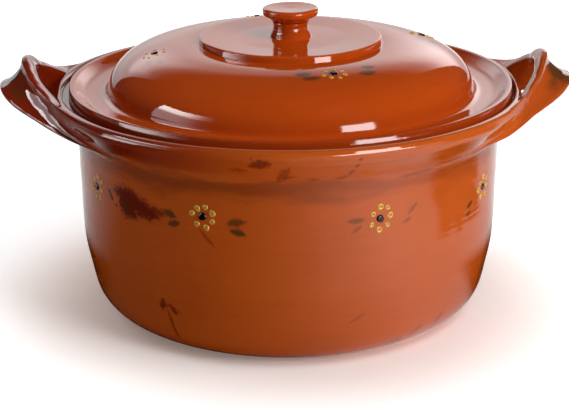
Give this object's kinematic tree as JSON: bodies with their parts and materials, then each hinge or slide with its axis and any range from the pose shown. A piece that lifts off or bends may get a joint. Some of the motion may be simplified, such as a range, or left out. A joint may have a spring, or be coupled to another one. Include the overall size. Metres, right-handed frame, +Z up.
{
  "type": "covered stewing pot",
  "caption": "Round glazed earthenware stewing pot with a flared ledge rim, channelled strap handles and a domed lid with a raised disc and knob.",
  "frame": {"origin": "centre of the flat base, on the surface the pot stands on", "axes": "+Z up along the pot's axis, +X towards one handle, the other handle at -X"},
  "size_m": [0.3802, 0.3124, 0.2009],
  "materials": {
    "glazed_clay": "glossy clear glaze over red-brown clay, hand painted"
  },
  "bodies": {
    "root": {"pot": "glazed_clay", "lid": "glazed_clay"}
  },
  "joints": []
}
